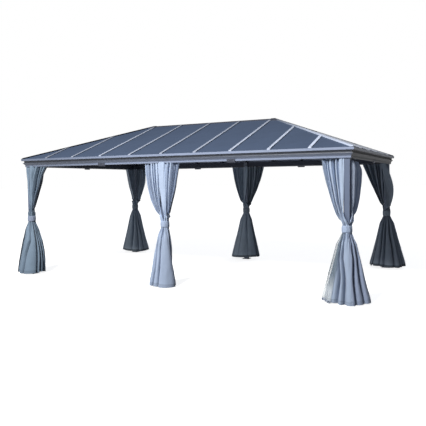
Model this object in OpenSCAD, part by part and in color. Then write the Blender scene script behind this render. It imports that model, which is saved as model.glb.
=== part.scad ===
// Hip-roofed garden pergola on six square posts, with a sheet-metal roof,
// a gutter round the eaves and a tied-back curtain at every post.
// Millimetres. Origin on the ground under the middle of the roof,
// +X along the long side, front side at -Y, +Z up.

/* [Overall] */
// Length over the eaves
eave_l = 6000; // [5400:10:6600]
// Width over the eaves
eave_w = 3480; // [3200:10:3800]
// Height of the eave lip above the ground
eave_z = 2100; // [2000:5:2300]
// Rise of the roof from eave to ridge
roof_rise = 640; // [500:10:800]

/* [Frame] */
// Side of the square posts
post_s = 80; // [70:1:90]
// Distance of the post faces in from the eave
post_in = 70; // [70:1:80]
// Width of the eave beams
beam_w = 50; // [40:1:60]
// Height of the eave beams
beam_h = 84; // [80:1:110]
// Side of the foot plates
foot_s = 150; // [130:1:160]
// Thickness of the foot plates
foot_t = 8; // [6:1:12]
// Radius of the anchor holes
hole_r = 6; // [5:0.5:7]
// Spacing of the anchor holes
hole_gap = 114; // [104:1:114]

/* [Roof] */
// Panels on each long slope
panels_long = 10; // [8:1:12]
// Panels on each end slope
panels_short = 6; // [4:2:8]
// Thickness of a roof panel
panel_t = 6; // [4:1:10]
// Width of a seam strip
strip_w = 46; // [24:1:50]
// Height of a seam strip
strip_h = 12; // [6:1:16]
// Width of the rafters
rafter_w = 40; // [30:1:50]
// Depth of the rafters
rafter_h = 60; // [50:1:60]
// Half width of the ridge cap
cap_hw = 50; // [40:1:60]
// Half width of the hip caps
hip_hw = 24; // [20:1:40]
// Thickness of the ridge cap
cap_t = 10; // [6:1:14]
// Thickness of the hip caps
hip_t = 16; // [6:1:20]

/* [Curtains] */
// Height of the tie bands
tie_h = 100; // [80:1:120]
// Half width of the tie bands
tie_hw = 73; // [70:1:80]
// Gap kept between cloth and metal
cloth_gap = 2; // [1:0.5:4]

// Height of the tie at the front right post
tie_fr = 1005; // [900:5:1300]
// Front middle
tie_fm = 990; // [900:5:1300]
// Front left
tie_fl = 1015; // [900:5:1300]
// Back left
tie_bl = 1080; // [900:5:1300]
// Back middle
tie_bm = 1045; // [900:5:1300]
// Back right
tie_br = 1035; // [900:5:1300]

/* [Hidden] */
$fn = 48;
hl = eave_l / 2;
hw = eave_w / 2;
tan_r = roof_rise / hw;
r2 = sqrt(2);
beam_top = eave_z - 40;
beam_bot = beam_top - beam_h;
px = hl - post_in - post_s / 2;
py = hw - post_in - post_s / 2;
rail_h = 12;
rail_bot = beam_bot - rail_h;
apex = hl - hw;
out_v = -(post_s - beam_w) / 2;

// ---- helpers ----

// the solid under the roof planes raised by h
module roof_solid(h) {
  m = 40;
  low = eave_z - 300;
  intersection() {
    translate([-hl - m, 0, 0]) rotate([90, 0, 90]) linear_extrude(2 * (hl + m))
      polygon([[-hw - m, low], [hw + m, low], [hw + m, eave_z + h - m * tan_r],
               [0, eave_z + h + hw * tan_r], [-hw - m, eave_z + h - m * tan_r]]);
    translate([0, hw + m, 0]) rotate([90, 0, 0]) linear_extrude(2 * (hw + m))
      polygon([[-hl - m, low], [hl + m, low], [hl + m, eave_z + h - m * tan_r],
               [0, eave_z + h + hl * tan_r], [-hl - m, eave_z + h - m * tan_r]]);
  }
}

// a shell parallel to the roof planes, cut to the plan drawn by the children
module layer(h0, h1) {
  intersection() {
    difference() {
      roof_solid(h1);
      roof_solid(h0);
    }
    translate([0, 0, beam_top]) linear_extrude(roof_rise + 400) children();
  }
}

// plan of the long slope at the front, d0 to d1 in from the eave, g off the hips
module zone_long(d0, d1, g) {
  k = g * r2;
  polygon([[-hl + d0 + k, -hw + d0], [hl - d0 - k, -hw + d0],
           [hl - d1 - k, -hw + d1], [-hl + d1 + k, -hw + d1]]);
}

// plan of the end slope on the right
module zone_short(d0, g) {
  k = g * r2;
  polygon([[hl - d0, -hw + d0 + k], [hl - d0, hw - d0 - k], [hl - hw + k, 0]]);
}

// places a thing at each of the six posts
module at_posts() {
  for (x = [-px, 0, px], y = [-py, py]) translate([x, y, 0]) children();
}

// ---- frame ----

module post(x, y) {
  color([0.62, 0.65, 0.72]) translate([x - post_s / 2, y - post_s / 2, foot_t])
    cube([post_s, post_s, beam_top - foot_t]);
}

module foot_plates() {
  color([0.62, 0.65, 0.72]) at_posts() difference() {
    translate([-foot_s / 2, -foot_s / 2, 0]) cube([foot_s, foot_s, foot_t]);
    for (x = [-hole_gap / 2, hole_gap / 2], y = [-hole_gap / 2, hole_gap / 2])
      translate([x, y, -1]) cylinder(r = hole_r, h = foot_t + 2);
  }
}

module beam_long(x0, side) {
  color([0.35, 0.36, 0.4]) translate([x0, side > 0 ? hw - post_in - beam_w : -hw + post_in, beam_bot])
    cube([px - post_s, beam_w, beam_h]);
}

module beam_short(side) {
  color([0.35, 0.36, 0.4]) translate([side > 0 ? hl - post_in - beam_w : -hl + post_in, -py + post_s / 2, beam_bot])
    cube([beam_w, 2 * py - post_s, beam_h]);
}

module curtain_rails() {
  m = beam_w / 2;
  color([0.3, 0.31, 0.34]) {
    for (s = [-1, 1], x = [-px + post_s / 2 + 4, post_s / 2 + 4])
      translate([x, s * (hw - post_in - m) - 11, rail_bot]) cube([px - post_s - 8, 22, rail_h]);
    for (s = [-1, 1])
      translate([s * (hl - post_in - m) - 11, -py + post_s / 2 + 4, rail_bot]) cube([22, 2 * py - post_s - 8, rail_h]);
  }
}

// ---- gutter ----

// profile: x is the distance in from the eave, y is the height
module gutter_profile() {
  e = eave_z;
  polygon([[0, e], [0, e - 32], [3, e - 34], [36, e - 35], [36, e - 66], [19, e - 69],
           [18, e - 73], [30, e - 88], [34, e - 90], [50, e - 112], [46, e - 117], [49, e - 138], [55, e - 143],
           [70, e - 143], [70, e - 10], [66, e - 10], [66, e - 84], [50, e - 84], [42, e - 74],
           [42, e - 31], [6, e - 29], [6, e]]);
}

module gutter_run(half, width) {
  intersection() {
    translate([-half, -width, 0]) rotate([90, 0, 90]) linear_extrude(2 * half) gutter_profile();
    translate([0, 0, eave_z - 200]) linear_extrude(300)
      polygon([[-half + 0.5, -width], [half - 0.5, -width], [half - 90.5, -width + 90], [-half + 90.5, -width + 90]]);
  }
}

module gutter(turn, half, width) {
  color([0.6, 0.63, 0.7]) rotate(turn) gutter_run(half, width);
}

module sleeve(half_w) {
  e = eave_z;
  translate([-70, -half_w, 0]) rotate([90, 0, 90]) linear_extrude(140)
    polygon([[45, e - 112], [42, e - 117], [45, e - 147], [54, e - 163], [70, e - 163],
             [70, e - 143], [55, e - 143], [49, e - 138], [46, e - 117], [50, e - 112]]);
}

module gutter_joint_sleeves() {
  color([0.3, 0.31, 0.35]) {
    for (x = [-1200, 1200], t = [0, 180]) rotate(t) translate([x, 0, 0]) sleeve(hw);
    for (t = [90, -90]) rotate(t) sleeve(hl);
  }
}

module gutter_corner_covers() {
  color([0.2, 0.2, 0.24]) for (sx = [-1, 1], sy = [-1, 1])
    translate([sx > 0 ? hl : -hl, sy > 0 ? hw : -hw, eave_z])
      linear_extrude(7) difference() {
        translate([sx > 0 ? -46 : 0, sy > 0 ? -46 : 0]) square(46);
        translate([sx > 0 ? -50 : 11, sy > 0 ? -50 : 11]) square(39);
      }
}

// ---- roof frame ----

// upright blocks that carry the rafters on the beams
module seat(h, poly_pts) {
  intersection() {
    roof_solid(-panel_t);
    translate([0, 0, beam_top]) linear_extrude(300) polygon(poly_pts);
  }
}

module ridge_beam() {
  color([0.35, 0.36, 0.4]) layer(-panel_t - 80, -panel_t)
    translate([-apex - 60, -30]) square([2 * apex + 120, 60]);
}

module hip_rafters() {
  color([0.35, 0.36, 0.4]) for (sx = [-1, 1], sy = [-1, 1]) union() {
    layer(-panel_t - rafter_h, -panel_t) intersection() {
      translate([sx * hl, sy * hw]) rotate(sx * sy > 0 ? (sx > 0 ? 225 : 45) : (sx > 0 ? 135 : -45))
        translate([0, -20]) square([hw * r2, 40]);
      translate([sx > 0 ? 200 : -hl + post_in + 2, sy > 0 ? 30 : -hw + post_in + 2])
        square([hl - post_in - 202, hw - post_in - 32]);
    }
    intersection() {
      roof_solid(-panel_t);
      translate([0, 0, beam_top]) linear_extrude(300) intersection() {
        translate([sx * hl, sy * hw]) rotate(sx * sy > 0 ? (sx > 0 ? 225 : 45) : (sx > 0 ? 135 : -45))
          translate([0, -20]) square([400, 40]);
        translate([sx * px - 38, sy * py - 38]) square(76);
      }
    }
  }
}

module rafter_plan_long() {
  n = panels_long;
  intersection() {
    zone_long(post_in + 2, hw - 30, 20);
    union() for (i = [1 : n - 1])
      translate([-hl + i * eave_l / n - rafter_w / 2, -hw]) square([rafter_w, hw]);
  }
}

module rafter_plan_short() {
  n = panels_short;
  difference() {
    intersection() {
      zone_short(post_in + 2, 20);
      union() for (i = [1 : n - 1])
        translate([0, -hw + i * eave_w / n - rafter_w / 2]) square([hl, rafter_w]);
    }
    translate([0, -30]) square([apex + 60, 60]);
  }
}

module rafters_long(t) {
  color([0.35, 0.36, 0.4]) rotate(t) union() {
    layer(-panel_t - rafter_h, -panel_t) rafter_plan_long();
    intersection() {
      roof_solid(-panel_t);
      translate([0, 0, beam_top]) linear_extrude(200) intersection() {
        rafter_plan_long();
        translate([-hl, -hw + post_in + 2]) square([eave_l, beam_w - 4]);
      }
    }
  }
}

module rafters_short(t) {
  color([0.35, 0.36, 0.4]) rotate(t) union() {
    layer(-panel_t - rafter_h, -panel_t) rafter_plan_short();
    intersection() {
      roof_solid(-panel_t);
      translate([0, 0, beam_top]) linear_extrude(200) intersection() {
        rafter_plan_short();
        translate([hl - post_in - beam_w + 2, -hw]) square([beam_w - 4, eave_w]);
      }
    }
  }
}

// ---- roof skin ----

module panels_long_side(t) {
  n = panels_long;
  color([0.3, 0.35, 0.46]) rotate(t) layer(-panel_t, 0) intersection() {
    zone_long(12, hw - 2, 2);
    union() for (i = [0 : n - 1])
      translate([-hl + i * eave_l / n + 1, -hw]) square([eave_l / n - 2, hw]);
  }
}

module panels_short_side(t) {
  n = panels_short;
  color([0.3, 0.35, 0.46]) rotate(t) layer(-panel_t, 0) intersection() {
    zone_short(12, 2);
    union() for (i = [0 : n - 1])
      translate([0, -hw + i * eave_w / n + 1]) square([hl, eave_w / n - 2]);
  }
}

module strips_long_side(t) {
  n = panels_long;
  color([0.7, 0.72, 0.78]) rotate(t) layer(0, strip_h) intersection() {
    zone_long(9, hw - cap_hw - 1, hip_hw + 1);
    union() for (i = [1 : n - 1])
      translate([-hl + i * eave_l / n - strip_w / 2, -hw]) square([strip_w, hw]);
  }
}

module strips_short_side(t) {
  n = panels_short;
  color([0.7, 0.72, 0.78]) rotate(t) layer(0, strip_h) difference() {
    intersection() {
      zone_short(9, hip_hw + 1);
      union() for (i = [1 : n - 1])
        translate([0, -hw + i * eave_w / n - strip_w / 2]) square([hl, strip_w]);
    }
    translate([0, -100]) square([apex + 96, 200]);
  }
}

module hip_caps() {
  color([0.3, 0.31, 0.35]) for (sx = [-1, 1], sy = [-1, 1])
    layer(0, hip_t) difference() {
      intersection() {
        translate([sx * hl, sy * hw]) rotate(sx * sy > 0 ? (sx > 0 ? 225 : 45) : (sx > 0 ? 135 : -45))
          translate([0, -hip_hw]) square([hw * r2 + 20, 2 * hip_hw]);
        translate([sx > 0 ? 0 : -hl + 12, sy > 0 ? 1 : -hw + 12]) square([hl - 12, hw - 13]);
      }
      translate([-apex - 96, -100]) square([2 * apex + 192, 200]);
    }
}

module ridge_cap() {
  color([0.3, 0.31, 0.35]) layer(0, cap_t)
    translate([-apex + 71, -cap_hw]) square([2 * apex - 142, 2 * cap_hw]);
}

module ridge_end_caps() {
  color([0.2, 0.2, 0.24]) for (s = [-1, 1])
    layer(0, cap_t + 6) translate([s > 0 ? apex - 70 : -apex - 95, -99]) square([165, 198]);
}

// ---- curtains ----

// closed skin through rings of points, all rings of the same length
module skin(rings) {
  n = len(rings[0]);
  m = len(rings);
  polyhedron(
    points = [for (r = rings) for (p = r) p],
    faces = concat(
      [[for (i = [n - 1 : -1 : 0]) i]],
      [[for (i = [0 : n - 1]) (m - 1) * n + i]],
      [for (j = [0 : m - 2]) for (i = [0 : n - 1]) [j * n + (i + 1) % n, (j + 1) * n + i, j * n + i]],
      [for (j = [0 : m - 2]) for (i = [0 : n - 1]) [(j + 1) * n + (i + 1) % n, (j + 1) * n + i, j * n + (i + 1) % n]]));
}

// an eight-sided ring: centre cx, cy, half sizes a, b, height z
function ring(cx, cy, a, b, z) = [for (q = [[1, 0.4], [0.6, 1], [-0.6, 1], [-1, 0.4], [-1, -0.4], [-0.6, -1], [0.6, -1], [1, -0.4]])
  [cx + a * q[0], cy + b * q[1], z]];

// the same ring with sixteen corners
function round_ring(cx, cy, a, b, z) = [for (k = [0 : 15]) [cx + a * cos(k * 22.5), cy + b * sin(k * 22.5), z]];

// cloth above the tie, falling from the rail to the post;
// it runs along +X from the post, outward is -Y and v is where its middle hangs
module drop(reach, ztie, v) {
  u0 = post_s / 2 + cloth_gap;
  top = rail_bot - 1;
  zt = ztie + tie_h / 2;
  skin([for (q = [[1, 40, 0], [0.93, 48, 0.16], [0.74, 46, 0.42], [0.5, 42, 0.66], [0.27, 34, 0.87], [0.07, 20, 0.985], [0.05, 18, 1.06]])
    let (h = (reach - u0) * q[0] / 2) ring(u0 + h, v + 4 * q[2], h, q[1], top + (zt - top) * q[2])]);
}

// cloth below the tie, flaring round the post
module skirt(cx, cy, a, b, zhem, ztie) {
  t = tie_hw - 6;
  zt = ztie + tie_h / 2;
  zb = ztie - tie_h / 2;
  difference() {
    skin([round_ring(0, 0, t, t, zt + 30), round_ring(0, 0, t, t, zb),
          round_ring(cx * 0.35, cy * 0.35, t + (a - t) * 0.42, t + (b - t) * 0.42, zhem + (zb - zhem) * 0.66),
          round_ring(cx * 0.7, cy * 0.7, t + (a - t) * 0.72, t + (b - t) * 0.72, zhem + (zb - zhem) * 0.36),
          round_ring(cx, cy, a, b, zhem)]);
    translate([-post_s / 2 - cloth_gap, -post_s / 2 - cloth_gap, 0])
      cube([post_s + 2 * cloth_gap, post_s + 2 * cloth_gap, 2000]);
  }
}

// one half of a skirt, on one side of an upright cut turned by c
module half_skirt(side, c, cx, cy, a, b, zhem, ztie) {
  intersection() {
    skirt(cx, cy, a, b, zhem, ztie);
    rotate(c) translate([side < 0 ? -1002 : 2, -1000, 0]) cube([1000, 2000, 2000]);
  }
}

// the two tied curtains of a corner post, drawn for the front right one
module corner_bundle(ra, rb, cx, cy, a, b, zhem, ztie, v = out_v) {
  union() {
    mirror([1, 0, 0]) drop(ra, ztie, v);
    half_skirt(-1, 45, cx, cy, a, b, zhem, ztie);
  }
  union() {
    rotate(90) drop(rb, ztie, v);
    half_skirt(1, 45, cx, cy, a, b, zhem, ztie);
  }
}

// the two tied curtains of a middle post, drawn for the front one
module middle_bundle(ra, rb, cx, cy, a, b, zhem, ztie, v = out_v) {
  union() {
    mirror([1, 0, 0]) drop(ra, ztie, v);
    half_skirt(-1, 0, cx, cy, a, b, zhem, ztie);
  }
  union() {
    drop(rb, ztie, v);
    half_skirt(1, 0, cx, cy, a, b, zhem, ztie);
  }
}

module curtain_front_right() {
  color([0.5, 0.55, 0.62]) translate([px, -py, 0])
    corner_bundle(350, 500, 0, 20, 330, 280, 20, tie_fr);
}

module curtain_front_left() {
  color([0.5, 0.55, 0.62]) translate([-px, -py, 0]) mirror([1, 0, 0])
    corner_bundle(450, 350, 45, -10, 285, 250, 30, tie_fl);
}

module curtain_front_middle() {
  color([0.5, 0.55, 0.62]) translate([0, -py, 0])
    middle_bundle(334, 270, -50, -50, 240, 210, 20, tie_fm);
}

module curtain_back_right() {
  color([0.5, 0.55, 0.62]) translate([px, py, 0]) mirror([0, 1, 0])
    corner_bundle(450, 450, 0, 60, 330, 320, 50, tie_br, 8);
}

module curtain_back_left() {
  color([0.5, 0.55, 0.62]) translate([-px, py, 0]) mirror([0, 1, 0]) mirror([1, 0, 0])
    corner_bundle(360, 330, 0, 30, 330, 290, 55, tie_bl, 8);
}

module curtain_back_middle() {
  color([0.5, 0.55, 0.62]) translate([0, py, 0]) mirror([0, 1, 0])
    middle_bundle(300, 430, 0, 20, 320, 280, 60, tie_bm, 8);
}

module tie(x, y, z) {
  translate([x, y, z - tie_h / 2]) difference() {
    cylinder(r = tie_hw, h = tie_h);
    translate([0, 0, -1]) cylinder(r = tie_hw - 4, h = tie_h + 2);
  }
}

module tie_bands() {
  color([0.5, 0.55, 0.62]) {
    tie(px, -py, tie_fr);
    tie(0, -py, tie_fm);
    tie(-px, -py, tie_fl);
    tie(-px, py, tie_bl);
    tie(0, py, tie_bm);
    tie(px, py, tie_br);
  }
}

post(-px, -py);  // post_front_left
post(0, -py);  // post_front_middle
post(px, -py);  // post_front_right
post(-px, py);  // post_back_left
post(0, py);  // post_back_middle
post(px, py);  // post_back_right
foot_plates();
beam_long(-px + post_s / 2, -1);  // beam_front_left
beam_long(post_s / 2, -1);  // beam_front_right
beam_long(-px + post_s / 2, 1);  // beam_back_left
beam_long(post_s / 2, 1);  // beam_back_right
beam_short(-1);  // beam_left
beam_short(1);  // beam_right
curtain_rails();
gutter(0, hl, hw);  // gutter_front
gutter(180, hl, hw);  // gutter_back
gutter(-90, hw, hl);  // gutter_left
gutter(90, hw, hl);  // gutter_right
gutter_joint_sleeves();
gutter_corner_covers();
ridge_beam();
hip_rafters();
rafters_long(0);  // rafters_front
rafters_long(180);  // rafters_back
rafters_short(180);  // rafters_left
rafters_short(0);  // rafters_right
panels_long_side(0);  // roof_panels_front
panels_long_side(180);  // roof_panels_back
panels_short_side(180);  // roof_panels_left
panels_short_side(0);  // roof_panels_right
strips_long_side(0);  // seam_strips_front
strips_long_side(180);  // seam_strips_back
strips_short_side(180);  // seam_strips_left
strips_short_side(0);  // seam_strips_right
hip_caps();
ridge_cap();
ridge_end_caps();
curtain_front_left();
curtain_front_middle();
curtain_front_right();
curtain_back_left();
curtain_back_middle();
curtain_back_right();
tie_bands();
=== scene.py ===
import math

import bpy
import numpy as np
from mathutils import Matrix, Vector


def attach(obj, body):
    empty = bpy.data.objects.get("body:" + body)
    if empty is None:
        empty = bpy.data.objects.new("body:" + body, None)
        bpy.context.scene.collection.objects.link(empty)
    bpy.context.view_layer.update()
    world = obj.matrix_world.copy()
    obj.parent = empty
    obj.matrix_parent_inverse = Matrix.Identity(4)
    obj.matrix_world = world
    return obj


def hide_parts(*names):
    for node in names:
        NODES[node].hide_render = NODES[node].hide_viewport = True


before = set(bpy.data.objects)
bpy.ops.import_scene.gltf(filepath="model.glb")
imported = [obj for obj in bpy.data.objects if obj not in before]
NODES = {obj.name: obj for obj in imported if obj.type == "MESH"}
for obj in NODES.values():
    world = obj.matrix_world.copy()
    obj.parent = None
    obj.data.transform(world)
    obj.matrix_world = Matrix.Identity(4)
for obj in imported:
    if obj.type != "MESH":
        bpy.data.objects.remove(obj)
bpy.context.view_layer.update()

# ------------------------------------------------------------------ basics

HL, HW, EAVE = 3.0, 1.74, 2.10
TAN = 0.64 / 1.74
PX, PY = 2.89, 1.63
RAIL = 1.964
TIE_H = 0.10
HOLE = 0.057          # from a post's centre to the bolts of its foot plate
RAIL_OUT = 0.015      # how far outside the posts' centre line the rails run


def rng(seed):
    return np.random.default_rng(seed)


def smooth(x):
    x = np.clip(x, 0.0, 1.0)
    return x * x * (3 - 2 * x)


def mesh_object(name, verts, faces, mat=None, smooth_faces=True):
    me = bpy.data.meshes.new(name)
    me.from_pydata([tuple(map(float, v)) for v in verts], [], [tuple(map(int, f)) for f in faces])
    me.validate()
    me.update()
    if smooth_faces:
        me.polygons.foreach_set("use_smooth", [True] * len(me.polygons))
    o = bpy.data.objects.new(name, me)
    bpy.context.scene.collection.objects.link(o)
    if mat:
        me.materials.append(mat)
    return o


def join_meshes(name, parts, mat):
    """parts is a list of (verts, faces)."""
    vs, fs, n = [], [], 0
    for v, f in parts:
        vs.extend([tuple(map(float, p)) for p in v])
        fs.extend([tuple(int(i) + n for i in q) for q in f])
        n += len(v)
    return mesh_object(name, vs, fs, mat, smooth_faces=False)


# ------------------------------------------------------------------ materials

def new_mat(name):
    m = bpy.data.materials.new(name)
    m.use_nodes = True
    nt = m.node_tree
    bsdf = nt.nodes["Principled BSDF"]
    return m, nt, bsdf


def node(nt, kind, **kw):
    n = nt.nodes.new(kind)
    for k, v in kw.items():
        if k in n.inputs:
            n.inputs[k].default_value = v
        else:
            setattr(n, k, v)
    return n


def lin(c):
    """sRGB 0-255 to linear"""
    out = []
    for v in c:
        v = v / 255.0
        out.append(v / 12.92 if v <= 0.04045 else ((v + 0.055) / 1.055) ** 2.4)
    return out


def mixc(nt, fac, a, b, blend="MIX"):
    n = nt.nodes.new("ShaderNodeMix")
    n.data_type = "RGBA"
    n.blend_type = blend
    n.clamp_factor = True
    nt.links.new(fac, n.inputs[0]) if hasattr(fac, "links") else setattr(n.inputs[0], "default_value", fac)
    for i, c in ((6, a), (7, b)):
        if hasattr(c, "links"):
            nt.links.new(c, n.inputs[i])
        else:
            n.inputs[i].default_value = (*c[:3], 1.0)
    return n.outputs[2]


def ramp(nt, src, stops):
    n = nt.nodes.new("ShaderNodeValToRGB")
    cr = n.color_ramp
    while len(cr.elements) > 1:
        cr.elements.remove(cr.elements[-1])
    cr.elements[0].position, cr.elements[0].color = stops[0][0], (*[stops[0][1]] * 3, 1)
    for p, v in stops[1:]:
        e = cr.elements.new(p)
        e.color = (v, v, v, 1)
    nt.links.new(src, n.inputs[0])
    return n.outputs[0]


def obj_coords(nt, scale=(1, 1, 1), rot=(0, 0, 0)):
    tc = nt.nodes.new("ShaderNodeTexCoord")
    mp = nt.nodes.new("ShaderNodeMapping")
    mp.inputs["Scale"].default_value = scale
    mp.inputs["Rotation"].default_value = rot
    nt.links.new(tc.outputs["Object"], mp.inputs[0])
    return mp.outputs[0]


def noise(nt, vec, scale, detail=4.0, rough=0.55):
    n = nt.nodes.new("ShaderNodeTexNoise")
    n.inputs["Scale"].default_value = scale
    n.inputs["Detail"].default_value = detail
    n.inputs["Roughness"].default_value = rough
    nt.links.new(vec, n.inputs["Vector"])
    return n.outputs["Fac"]


def bump(nt, height, strength, distance, normal=None):
    b = nt.nodes.new("ShaderNodeBump")
    b.inputs["Strength"].default_value = strength
    b.inputs["Distance"].default_value = distance
    nt.links.new(height, b.inputs["Height"])
    if normal:
        nt.links.new(normal, b.inputs["Normal"])
    return b.outputs[0]


def painted(name, rgb, rough=0.42, var=0.12, streak=(1, 1, 1), dirt=0.25, dirt_rgb=None, peel=0.05, spec=0.5, edge=0.0):
    """Powder-coated metal: fine orange peel, faint clouds, streaks of grime, lighter worn edges."""
    m, nt, p = new_mat(name)
    c = lin(rgb)
    base = obj_coords(nt)
    st = obj_coords(nt, scale=streak)
    clouds = noise(nt, base, 2.3, 5)
    fine = noise(nt, base, 60.0, 3)
    drips = noise(nt, st, 5.0, 6, 0.65)
    lo = [v * (1 - var) for v in c]
    hi = [min(1, v * (1 + var)) for v in c]
    col = mixc(nt, ramp(nt, clouds, [(0.3, 0.0), (0.7, 1.0)]), lo, hi)
    col = mixc(nt, ramp(nt, fine, [(0.35, 0.0), (0.75, 0.22)]), col, [v * 0.86 for v in c])
    dr = dirt_rgb and lin(dirt_rgb) or [v * 0.55 for v in c]
    mask = ramp(nt, drips, [(0.48, 0.0), (0.8, dirt)])
    col = mixc(nt, mask, col, dr)
    if edge > 0:
        g = nt.nodes.new("ShaderNodeNewGeometry")
        e = ramp(nt, g.outputs["Pointiness"], [(0.52, 0.0), (0.60, edge)])
        col = mixc(nt, e, col, [min(1.0, v * 1.7 + 0.05) for v in c])
    nt.links.new(col, p.inputs["Base Color"])
    r = nt.nodes.new("ShaderNodeMapRange")
    r.inputs["To Min"].default_value = max(0.05, rough - 0.08)
    r.inputs["To Max"].default_value = min(1.0, rough + 0.14)
    nt.links.new(drips, r.inputs["Value"])
    nt.links.new(r.outputs[0], p.inputs["Roughness"])
    p.inputs["Specular IOR Level"].default_value = spec
    peel_n = noise(nt, base, 420.0, 2)
    wav = noise(nt, base, 3.0, 2)
    b1 = bump(nt, wav, 0.05, 0.02)
    nt.links.new(bump(nt, peel_n, peel, 0.0006, b1), p.inputs["Normal"])
    return m


def cloth_material(name, rgb, weave=1400.0, var=0.10, sheen=0.25, crease_shade=0.0, stripe=None):
    m, nt, p = new_mat(name)
    c = lin(rgb)
    tc = nt.nodes.new("ShaderNodeTexCoord")
    uv = tc.outputs["UV"]
    base = obj_coords(nt)
    clouds = noise(nt, base, 4.0, 5)
    slub = nt.nodes.new("ShaderNodeMapping")
    slub.inputs["Scale"].default_value = (260.0, 7.0, 1.0)
    nt.links.new(uv, slub.inputs[0])
    sl = noise(nt, slub.outputs[0], 1.0, 3)
    slub2 = nt.nodes.new("ShaderNodeMapping")
    slub2.inputs["Scale"].default_value = (9.0, 300.0, 1.0)
    nt.links.new(uv, slub2.inputs[0])
    sl2 = noise(nt, slub2.outputs[0], 1.0, 3)
    col = mixc(nt, ramp(nt, clouds, [(0.3, 0.0), (0.7, 1.0)]), [v * (1 - var) for v in c], [min(1, v * (1 + var)) for v in c])
    col = mixc(nt, ramp(nt, sl, [(0.4, 0.0), (0.75, 0.35)]), col, [v * 0.80 for v in c])
    col = mixc(nt, ramp(nt, sl2, [(0.4, 0.0), (0.75, 0.30)]), col, [min(1, v * 1.16) for v in c])
    if stripe:
        sep = nt.nodes.new("ShaderNodeSeparateXYZ")
        nt.links.new(uv, sep.inputs[0])
        y = sep.outputs["Y"]
        for lo, hi, amount, shade in stripe:
            a = nt.nodes.new("ShaderNodeMath"); a.operation = "GREATER_THAN"; a.inputs[1].default_value = lo
            b = nt.nodes.new("ShaderNodeMath"); b.operation = "LESS_THAN"; b.inputs[1].default_value = hi
            k = nt.nodes.new("ShaderNodeMath"); k.operation = "MULTIPLY"
            k2 = nt.nodes.new("ShaderNodeMath"); k2.operation = "MULTIPLY"; k2.inputs[1].default_value = amount
            nt.links.new(y, a.inputs[0]); nt.links.new(y, b.inputs[0])
            nt.links.new(a.outputs[0], k.inputs[0]); nt.links.new(b.outputs[0], k.inputs[1])
            nt.links.new(k.outputs[0], k2.inputs[0])
            col = mixc(nt, k2.outputs[0], col, [v * shade for v in c])
    # painted shade: a mesh attribute darkens the cloth towards a dark blue grey in the valleys of its folds
    if crease_shade:
        at = nt.nodes.new("ShaderNodeAttribute")
        at.attribute_name = "crease_shade"
        cm = ramp(nt, at.outputs["Fac"], [(0.25, 0.0), (0.95, crease_shade)])
        col = mixc(nt, cm, col, [c[0] * 0.30, c[1] * 0.32, c[2] * 0.38])
    nt.links.new(col, p.inputs["Base Color"])
    p.inputs["Roughness"].default_value = 0.82
    p.inputs["Specular IOR Level"].default_value = 0.25
    p.inputs["Sheen Weight"].default_value = sheen
    p.inputs["Sheen Roughness"].default_value = 0.45
    # weave: crossed threads in the cloth's own metres
    w1 = nt.nodes.new("ShaderNodeTexWave"); w1.wave_type = "BANDS"; w1.bands_direction = "X"
    w1.inputs["Scale"].default_value = weave / 6.283; w1.inputs["Distortion"].default_value = 0.6
    w2 = nt.nodes.new("ShaderNodeTexWave"); w2.wave_type = "BANDS"; w2.bands_direction = "Y"
    w2.inputs["Scale"].default_value = weave / 6.283; w2.inputs["Distortion"].default_value = 0.6
    nt.links.new(uv, w1.inputs[0]); nt.links.new(uv, w2.inputs[0])
    mul = nt.nodes.new("ShaderNodeMath"); mul.operation = "MULTIPLY"
    nt.links.new(w1.outputs["Fac"], mul.inputs[0]); nt.links.new(w2.outputs["Fac"], mul.inputs[1])
    crumple = noise(nt, base, 22.0, 5, 0.6)
    b0 = bump(nt, crumple, 0.35, 0.012)
    b1 = bump(nt, sl, 0.25, 0.0012, b0)
    nt.links.new(bump(nt, mul.outputs[0], 0.35, 0.0007, b1), p.inputs["Normal"])
    return m


# ------------------------------------------------------------------ camera

def camera():
    yaw, pit, rol = math.radians(27.07), math.radians(-3.39), math.radians(-0.56)
    fw = Vector((-math.sin(yaw) * math.cos(pit), math.cos(yaw) * math.cos(pit), math.sin(pit)))
    r = Vector((math.cos(yaw), math.sin(yaw), 0))
    up = r.cross(fw)
    r2 = r * math.cos(rol) + up * math.sin(rol)
    u2 = -r * math.sin(rol) + up * math.cos(rol)
    cam = bpy.data.cameras.new("camera")
    cam.sensor_fit = "HORIZONTAL"
    cam.sensor_width = 36.0
    cam.lens = 530.3 / 426.0 * 36.0
    cam.clip_end = 500
    o = bpy.data.objects.new("camera", cam)
    m = Matrix.Identity(4)
    for i in range(3):
        m[i][0], m[i][1], m[i][2] = r2[i], u2[i], -fw[i]
    m.translation = Vector((4.525, -8.797, 1.661))
    o.matrix_world = m
    bpy.context.scene.collection.objects.link(o)
    bpy.context.scene.camera = o


camera()

# ------------------------------------------------------------------ stage and light

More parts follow.
